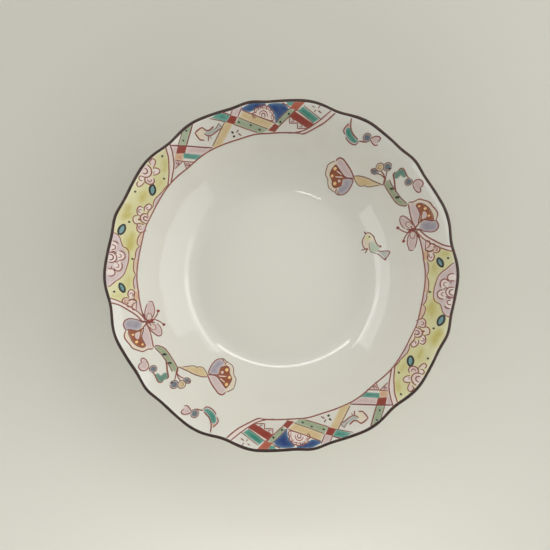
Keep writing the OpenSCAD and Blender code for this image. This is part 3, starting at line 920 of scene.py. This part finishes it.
def butterfly():
    """The butterfly on an open flower."""
    p = Painting()
    # The open flower that the butterfly feeds from
    p.wash([(70.4, 25.6), (68.5, 29.5), (67.1, 34.7), (66.8, 37.6), (68.7, 38.1), (71.4, 39.0),
            (74.9, 37.8), (77.3, 35.5), (79.9, 32.1), (80.1, 29.0), (76.2, 27.0)], "cream")
    p.wash([(70.0, 26.4), (68.6, 30.0), (67.3, 35.0), (67.4, 37.6), (68.9, 37.5), (70.0, 36.5),
            (71.8, 33.1), (72.2, 31.6), (71.8, 29.2), (71.5, 27.0)], "lilac", layer=2)
    p.wash([(72.4, 24.6), (74.1, 23.2), (77.2, 22.5), (79.6, 23.3), (80.6, 25.2), (79.6, 27.9),
            (77.8, 27.9), (75.2, 28.3), (72.8, 27.4)], "lavender", layer=2, soft=1.6)
    p.wash([(70.1, 36.8), (71.7, 37.2), (74.3, 35.9), (76.0, 34.2), (77.2, 32.0), (78.0, 30.0),
            (78.2, 27.9), (76.2, 28.7), (73.9, 28.8), (72.3, 27.9), (72.6, 31.6), (71.6, 34.2)],
           "brown", layer=2, soft=0.5)
    p.wash([(73.6, 33.0), (75.0, 32.4), (75.4, 30.4), (74.5, 29.6), (73.2, 29.4)], "mauve", layer=3)
    for at, radius in [((71.6, 35.8), 0.6), ((74.4, 34.4), 0.8), ((76.3, 30.7), 0.65)]:
        p.dot(at, radius, "gold", layer=4)
    p.curve([(66.4, 37.4), (67.1, 34.7), (67.8, 31.8), (68.5, 29.5), (69.3, 27.5), (70.4, 25.2)], 0.8)
    p.curve([(66.6, 37.9), (67.3, 38.2), (68.7, 38.1), (69.8, 38.7), (71.4, 39.3), (72.8, 38.8),
             (74.9, 38.0), (76.3, 37.1), (77.3, 35.7), (79.0, 33.6), (79.9, 32.1), (80.1, 30.3),
             (79.5, 28.3)])
    p.curve([(71.6, 27.1), (73.0, 28.2), (74.4, 28.8), (76.2, 28.5), (77.8, 28.0), (79.4, 28.2)],
            0.8, "maroon")
    p.curve([(70.0, 36.5), (71.8, 33.1), (72.2, 31.6), (71.8, 29.2), (71.6, 27.1)], 0.7, "maroon")
    p.curve([(70.1, 36.9), (71.7, 37.3), (74.3, 36.2), (76.3, 34.2), (77.4, 32.2), (78.3, 30.0),
             (78.4, 28.3)], 0.45, "maroon")
    p.curve([(79.5, 28.2), (80.2, 27.0), (80.7, 25.2), (80.2, 23.6), (78.9, 22.6), (77.2, 22.4),
             (75.6, 22.8), (74.1, 23.2), (72.4, 24.4)])

    # Wings, body and feelers
    p.wash([(70.4, 25.0), (68.4, 28.2), (66.9, 29.8), (65.4, 31.1), (64.2, 31.4), (63.1, 30.6),
            (63.2, 28.3), (64.2, 26.4), (66.2, 25.0)], "mauve", layer=2, soft=1.4)
    p.wash([(69.8, 22.8), (67.4, 21.6), (67.0, 17.6), (68.1, 13.9), (69.9, 13.8), (71.1, 17.5), (71.2, 21.4)],
           "mauve", layer=2, soft=1.2)
    p.curve([(70.4, 25.0), (68.4, 28.2), (66.9, 29.8), (65.4, 31.1), (64.2, 31.6), (63.3, 31.3),
             (62.9, 30.2), (63.2, 28.3), (64.2, 26.4), (65.5, 25.0)])
    p.curve([(68.0, 22.6), (67.1, 20.2), (66.9, 17.6), (67.5, 15.1), (68.1, 13.6), (69.7, 13.5)], 0.7)
    p.curve([(70.8, 22.6), (71.3, 20.0), (71.1, 17.5), (70.4, 14.8)], 0.45)
    p.curve([(69.6, 25.2), (66.8, 26.4), (66.5, 27.2), (67.2, 27.5), (69.0, 26.0)], 0.5, "cream")
    p.curve([(69.0, 23.4), (68.7, 21.9), (69.1, 20.6), (69.8, 21.6), (69.8, 23.2)], 0.5, "cream")
    p.curve([(69.8, 26.0), (68.4, 27.4), (67.0, 28.4), (65.9, 27.9), (66.3, 26.2), (67.8, 25.2)], 0.45)
    p.curve([(70.3, 22.8), (70.4, 20.9), (69.6, 19.6), (68.3, 20.4), (68.1, 22.2)], 0.45)
    p.fill(oval((69.0, 23.9), 2.1, 0.48, 25), "dark_red", layer=3)
    for end in [(71.9, 27.0), (73.0, 23.8), (71.4, 21.8), (66.4, 24.6), (68.2, 26.2)]:
        p.ruled([(69.4, 24.2), end], 0.8, "maroon", layer=4)
    p.curve([(67.2, 23.2), (66.4, 23.0), (64.1, 24.1), (62.2, 25.6)], 0.6)
    p.curve([(67.4, 22.9), (66.6, 22.2), (65.5, 20.3), (65.1, 18.6)], 0.6)
    p.dot((62.1, 25.7), 0.75, "dark_red", layer=4)
    p.dot((65.1, 18.5), 0.78, "dark_red", layer=4)
    both(p, "butterfly", "right", "left", "lilac_enamel")


def berry(p, centre, radius, tilt=0.0, across=1.0, paint="slate"):
    """A round berry with a deep heart, ringed by a fine line."""
    p.fill(oval(centre, radius, across, tilt), "mauve", soft=0.5)
    p.fill(oval(centre, radius * 0.78, across, tilt), paint, layer=2, soft=0.5)
    p.line(arc(centre, radius, 0, 350, across, tilt), 0.5, "umber", taper=0.6)
    p.line(arc(centre, radius * 0.45, 30, 330, across, tilt, step=0.25), 0.35, "umber", taper=0.6)


def flower_spray():
    """The spray of a flower, a tan leaf, berries and a green pod."""
    p = Painting()
    # The open flower
    p.wash([(29.3, 61.2), (27.5, 60.7), (25.4, 59.6), (24.4, 56.2), (24.3, 54.5), (25.4, 51.6),
            (26.1, 48.1), (29.5, 45.8), (32.0, 44.4), (35.4, 45.7), (37.8, 49.1), (39.3, 51.7),
            (37.4, 55.7), (34.6, 59.8), (31.6, 62.3)], "cream")
    p.wash([(30.0, 61.5), (31.6, 62.2), (34.4, 59.7), (36.8, 56.3), (38.6, 52.6), (36.2, 52.8),
            (34.2, 53.8), (32.4, 55.6), (30.8, 58.0), (29.6, 60.0)], "lilac", layer=2)
    p.wash([(33.3, 52.3), (36.8, 52.2), (38.4, 51.0), (37.7, 49.1), (36.7, 47.2), (35.3, 45.8),
            (33.5, 44.8), (31.7, 45.0), (30.5, 46.4), (31.6, 48.3), (33.2, 49.8)],
           "lavender", layer=2, soft=2.0)
    p.wash([(29.1, 59.4), (27.4, 57.4), (26.5, 55.0), (27.0, 53.2), (27.7, 51.7), (27.8, 49.7),
            (28.9, 48.3), (30.4, 48.3), (32.7, 49.3), (33.1, 51.2), (33.8, 52.6), (35.8, 52.7),
            (34.0, 53.6), (32.4, 55.4), (30.7, 57.8)], "brown", layer=2, soft=0.5)
    for at, radius in [((29.0, 57.6), 0.95), ((27.6, 54.1), 0.85), ((29.1, 50.2), 1.0)]:
        p.dot(at, radius, "gold", layer=4)
    p.ruled([(29.9, 56.5), (32.5, 54.5)], 0.7, "pink", layer=4)
    p.ruled([(29.3, 53.6), (33.2, 53.2)], 0.7, "pink", layer=4)
    p.dot((31.4, 51.4), 0.8, "pink", layer=4)
    p.curve([(29.1, 59.5), (27.4, 57.4), (26.4, 55.0), (27.0, 53.2), (27.7, 51.7), (27.7, 49.7),
             (28.9, 48.2), (30.4, 48.3), (32.7, 49.1)], 0.6, "maroon")
    p.curve([(29.2, 59.6), (30.8, 57.7), (32.6, 55.3), (34.2, 53.5), (36.2, 52.7), (39.2, 52.4)],
            0.75, "maroon")
    p.curve([(29.3, 61.3), (30.3, 62.4), (31.6, 62.5), (33.1, 61.7), (34.6, 59.9), (36.2, 57.8),
             (37.5, 55.7), (38.7, 53.2), (39.4, 51.7)], 0.75)
    p.curve([(28.8, 61.2), (27.5, 60.9), (25.4, 59.8), (24.8, 58.6), (24.2, 56.2), (24.2, 54.5),
             (25.2, 52.9), (25.4, 51.6), (25.5, 49.9), (26.1, 48.1), (27.7, 46.8), (29.5, 45.6),
             (30.5, 44.5), (32.0, 44.1)], 0.55, "umber")
    p.curve([(33.3, 52.5), (36.8, 52.4), (38.6, 51.3), (37.9, 49.1), (36.9, 47.2), (35.5, 45.5),
             (33.5, 44.4), (31.5, 44.6), (30.3, 46.4)])
    p.ruled([(30.2, 47.6), (29.4, 45.9)], 0.75)

    # The tan leaf and the berries over it
    p.wash([(39.0, 52.6), (39.3, 53.4), (41.4, 53.3), (43.9, 52.6), (46.4, 51.6), (48.9, 50.2),
            (53.0, 48.0), (49.6, 47.9), (47.3, 47.7), (45.5, 47.9), (44.0, 48.3), (42.0, 48.6), (40.7, 49.8)],
           "ochre", soft=0.7)
    p.curve([(39.1, 53.4), (41.4, 53.3), (43.9, 52.6), (46.4, 51.6), (48.9, 50.2), (51.2, 49.1),
             (53.7, 47.8)], 0.6, "umber")
    p.curve([(39.4, 51.7), (40.7, 49.6), (42.0, 48.4), (44.0, 48.2), (44.5, 48.6), (45.5, 47.8),
             (47.3, 47.6), (49.6, 47.8), (52.0, 48.0)], 0.55, "umber")
    for start in [(50.2, 53.8), (52.0, 54.9), (55.2, 54.6)]:
        bend = ((start[0] + 54.4) / 2 + 0.2, (start[1] + 51.0) / 2 + 0.4)
        p.curve([start, bend, (54.6, 50.8)], 0.55)
    p.curve([(54.7, 51.6), (54.4, 50.0), (54.1, 47.8)], 1.1)
    berry(p, (49.1, 54.8), 1.9, tilt=-30, across=0.68)
    p.dot((47.7, 55.7), 0.55, "maroon", across=0.8, tilt=-35)
    berry(p, (51.6, 56.6), 1.9, paint="ochre")
    berry(p, (55.3, 56.4), 1.95)
    p.dot((56.5, 55.5), 0.55, "black")

    # The green pod
    p.wash([(54.8, 49.6), (54.5, 48.0), (55.9, 45.6), (57.5, 43.2), (59.2, 40.6), (61.2, 38.2),
            (63.3, 37.1), (65.4, 36.9), (64.4, 38.8), (62.6, 40.7), (61.1, 42.8), (59.5, 45.1),
            (57.9, 47.5), (56.4, 49.9)], "leaf_green", soft=0.9)
    p.curve([(54.4, 48.0), (55.9, 45.4), (57.5, 43.0), (59.2, 40.4), (61.2, 38.0), (63.3, 36.9),
             (65.3, 36.5), (65.9, 37.4)], 0.65, taper=0.6)
    p.curve([(65.9, 37.4), (64.4, 39.0), (62.6, 40.9), (61.1, 43.0), (59.5, 45.3), (57.9, 47.7),
             (56.6, 50.3)], 0.55, "umber", taper=0.6)
    p.dot((58.2, 45.7), 1.1, "black", across=0.55, tilt=-15)
    p.dot((61.1, 41.2), 1.3, "black", across=0.5)

    # The curled teal leaf, its stem, a berry and the pink bud
    p.wash([(58.6, 51.0), (58.8, 53.0), (60.2, 54.0), (61.9, 54.9), (63.6, 53.6), (64.6, 51.0),
            (63.2, 50.6), (62.0, 51.7), (60.4, 50.4)], "verdigris", soft=1.3)
    p.curve([(60.2, 43.8), (59.6, 46.3), (59.2, 49.0), (58.7, 51.1), (58.4, 52.6), (59.2, 53.6)], 0.85)
    p.curve([(60.7, 53.9), (61.1, 54.8), (62.1, 55.1), (63.1, 54.6), (64.1, 52.8), (65.0, 51.0),
             (65.9, 50.0)], 0.6)
    berry(p, (65.8, 48.2), 1.7, tilt=60)
    p.wash([(67.9, 46.3), (68.4, 47.9), (69.5, 48.6), (70.7, 48.6), (71.9, 47.9), (72.5, 46.5),
            (71.9, 45.4), (71.3, 43.6), (70.2, 43.2), (68.7, 44.6)], "rose")
    p.curve([(67.9, 46.3), (68.3, 48.0), (69.5, 48.8), (70.7, 48.8), (71.9, 48.1), (72.6, 46.7),
             (72.2, 45.5), (71.4, 44.9)])
    p.curve([(67.9, 46.4), (68.7, 44.6), (70.0, 43.0), (71.2, 42.6), (71.7, 43.6), (71.3, 44.8)])
    both(p, "flower_spray", "right", "left", "flower_enamel")


def bud_sprig():
    """The sprig that hangs from the lip."""
    p = Painting()
    p.wash([(34.9, 77.5), (33.4, 76.3), (32.5, 75.0), (33.1, 73.1), (34.3, 70.9), (35.8, 69.5),
            (37.5, 68.5), (38.9, 68.4), (39.8, 69.2), (38.1, 71.2), (36.6, 73.4), (35.6, 76.0)], "lilac")
    p.wash([(33.5, 75.4), (35.4, 75.8), (36.8, 73.0), (38.3, 71.0), (39.8, 69.5), (38.2, 69.0),
            (36.4, 69.8), (34.6, 71.4), (33.6, 73.4)], "teal", layer=2)
    p.dot((34.6, 76.8), 0.7, "orange")
    p.curve([(34.8, 77.7), (33.4, 76.5), (32.4, 75.2), (32.5, 74.1), (33.2, 73.1)], 0.7)
    p.curve([(33.6, 72.0), (34.3, 70.7), (35.8, 69.3), (37.5, 68.3), (38.9, 68.2), (40.0, 69.0)], 0.75)
    p.curve([(35.9, 80.1), (35.8, 78.9), (35.7, 77.0), (36.1, 75.0), (37.1, 73.1), (38.3, 71.8),
             (39.8, 70.3)], 0.7)
    p.curve([(40.0, 69.6), (41.5, 69.4), (43.2, 68.9), (44.6, 68.8)])
    berry(p, (44.3, 70.9), 1.95)
    p.wash([(46.3, 70.0), (46.9, 70.6), (48.1, 70.9), (50.0, 70.6), (50.7, 69.8), (49.5, 68.5),
            (49.5, 67.2), (48.3, 67.2), (47.1, 68.2)], "rose")
    p.curve([(46.3, 70.3), (48.1, 71.0), (50.0, 70.8), (50.9, 69.9), (50.3, 69.0), (49.5, 68.4)])
    p.curve([(46.1, 69.6), (47.1, 68.1), (48.3, 67.0), (49.7, 67.0)], 0.75)
    both(p, "bud_sprig", "back", "front", "jade_enamel")


def bird():
    """The one bird at the edge of the well."""
    p = Painting()
    p.wash([(45.4, 22.6), (46.8, 23.6), (47.9, 23.5), (49.3, 22.6), (50.7, 20.0), (51.4, 18.5),
            (53.2, 16.4), (52.4, 13.6), (50.5, 13.0), (48.0, 14.0), (46.1, 15.4), (45.1, 16.4), (44.6, 19.0)],
           "cream")
    p.wash([(48.2, 18.4), (49.8, 19.2), (51.3, 18.1), (53.0, 16.2), (52.6, 13.8), (50.5, 13.1),
            (49.3, 13.7), (48.3, 15.6)], "pale_green", layer=2)
    p.wash([(46.0, 22.2), (47.6, 22.9), (49.3, 21.4), (48.4, 19.8), (46.2, 19.9)], "yellow", layer=2)
    p.tile([(52.6, 13.8), (58.1, 13.5), (56.2, 9.6)], "grey")
    p.curve([(45.3, 24.5), (46.1, 23.0)], 0.9, "maroon")
    p.curve([(46.1, 23.0), (46.8, 23.8), (47.9, 23.7), (49.3, 22.8), (50.3, 21.5), (50.8, 20.0),
             (51.4, 18.5), (52.3, 17.1), (53.7, 16.3)], 0.6)
    p.curve([(45.9, 22.8), (45.5, 22.1), (44.7, 20.6), (44.3, 19.1), (44.6, 17.4), (45.1, 16.2),
             (46.1, 15.2)], 0.6)
    p.curve([(48.0, 18.5), (48.0, 16.5), (48.4, 14.5), (49.3, 13.4), (50.5, 12.9), (51.8, 12.6)],
            0.5, "umber")
    p.curve([(52.3, 14.1), (54.6, 13.7), (57.2, 13.8), (58.5, 13.3), (57.6, 11.3), (56.2, 9.2)], 0.55)
    p.curve([(56.2, 9.2), (55.3, 9.7), (54.6, 10.4), (53.5, 11.5), (52.0, 12.6)], 0.55)
    p.curve([(46.9, 15.4), (46.1, 15.2), (44.9, 14.8), (43.8, 14.5)], 0.6)
    p.curve([(47.0, 14.7), (45.8, 12.9)], 0.6)
    p.dot((48.0, 21.7), 0.48, "olive")
    for at in [(46.8, 15.1), (53.7, 16.3), (56.2, 9.3)]:
        p.dot(at, 0.6, "dark_red")
    p.place("bird_painting", "bird", "pale_green_enamel")


# ---- Floor, light and camera, in metres ----

# The floor lies a hair under the foot
FLOOR_SIZE = 3.0
FLOOR_GAP = 0.0002
# Where the lamps at the sides and the back stand, and how bright the white world is
RIGHT = 0.55
LEFT = -0.60
BACK = 0.40
WORLD_LIGHT = 0.40
# The camera looks down from over the bowl and leans a little to the front
LENS = 72.18
CAMERA_AIM = (-0.00318, -0.00017, 0.0518)
CAMERA_LEAN = (0, -0.030, 1)
CAMERA_DISTANCE = 0.56


def build_floor():
    """The plain pale floor."""
    bpy.ops.mesh.primitive_plane_add(size=FLOOR_SIZE, location=(0, 0, -FLOOR_GAP))
    floor = bpy.context.object
    floor.name = "floor"
    floor.data.materials.append(shader("pale_floor", (204, 202, 190), 0.9))
    return floor


def area_light(name, place, size, power, aim=(0, 0, 0.03), reflected=True, diffuse=True, only=None):
    """A rectangular lamp, which can be a fill out of reflections, a glint, or a light for one object only."""
    data = bpy.data.lights.new(name, "AREA")
    data.shape = "RECTANGLE"
    data.size, data.size_y = size
    data.energy = power
    light = bpy.data.objects.new(name, data)
    light.location = place
    light.rotation_euler = (Vector(aim) - Vector(place)).to_track_quat("-Z", "Y").to_euler()
    light.visible_glossy = reflected
    light.visible_diffuse = diffuse
    if only is not None:
        lit = bpy.data.collections.new(f"{name}_receivers")
        lit.objects.link(only)
        light.light_linking.receiver_collection = lit
    bpy.context.scene.collection.objects.link(light)


def build_light(floor):
    """A light tent: side panels that the wall mirrors, strips along their tops, fills and small glints."""
    world = bpy.data.worlds.new("studio")
    world.use_nodes = True
    background = world.node_tree.nodes["Background"]
    background.inputs["Color"].default_value = (1, 1, 1, 1)
    background.inputs["Strength"].default_value = WORLD_LIGHT
    bpy.context.scene.world = world
    area_light("right_panel", (RIGHT, -0.13, 0.27), (0.98, 0.46), 1.66, aim=(0, -0.13, 0.27))
    area_light("left_panel", (LEFT, 0.05, 0.385), (1.0, 0.25), 1.22, aim=(0, 0.05, 0.385))
    area_light("back_strip", (-0.02, BACK, 0.52), (0.76, 0.05), 0.64, aim=(-0.02, 0, 0.03))
    area_light("left_strip", (LEFT, 0.36, 0.47), (0.50, 0.05), 0.16, aim=(0, 0.2, 0.03))
    area_light("right_strip", (RIGHT, 0.20, 0.48), (0.86, 0.13), 0.45, aim=(0, 0.20, 0.03))
    area_light("back_fill", (0.55, 0.55, 0.778), (0.7, 0.7), 1.65, reflected=False)
    area_light("right_fill", (0.778, 0, 0.778), (0.7, 0.7), 0.40, reflected=False)
    area_light("back_glint", (-0.02, BACK, 0.475), (0.76, 0.04), 0.40, aim=(-0.02, 0, 0.03), diffuse=False)
    area_light("right_glint", (RIGHT, 0.32, 0.54), (0.62, 0.10), 0.45, aim=(0, 0.2, 0.03), diffuse=False)
    area_light("left_glint", (LEFT, 0.15, 0.45), (0.80, 0.10), 0.26, aim=(0, 0.15, 0.03), diffuse=False)
    # The floor is brighter towards the front, and these two light nothing else
    area_light("front_floor", (0, -0.26, 0.20), (0.2, 0.2), 0.32, aim=(0, -0.20, 0), reflected=False,
               only=floor)
    area_light("left_floor", (-0.24, -0.22, 0.20), (0.2, 0.2), 0.09, aim=(-0.18, -0.18, 0), reflected=False,
               only=floor)
    area_light("front_glint", (-0.115, -0.33, 0.63), (0.11, 0.06), 0.15, diffuse=False)


def build_camera():
    """The camera over the bowl."""
    data = bpy.data.cameras.new("camera")
    data.sensor_width = 36
    data.lens = LENS
    camera = bpy.data.objects.new("camera", data)
    target = Vector(CAMERA_AIM)
    camera.location = target + Vector(CAMERA_LEAN).normalized() * CAMERA_DISTANCE
    camera.rotation_euler = (target - camera.location).to_track_quat("-Z", "Y").to_euler()
    bpy.context.scene.collection.objects.link(camera)
    bpy.context.scene.camera = camera


build_bowl()
build_foot()
build_lip()
lattice_panel()
blossom_panel()
butterfly()
flower_spray()
bud_sprig()
bird()
build_light(build_floor())
build_camera()
bpy.context.scene.view_settings.view_transform = "Standard"
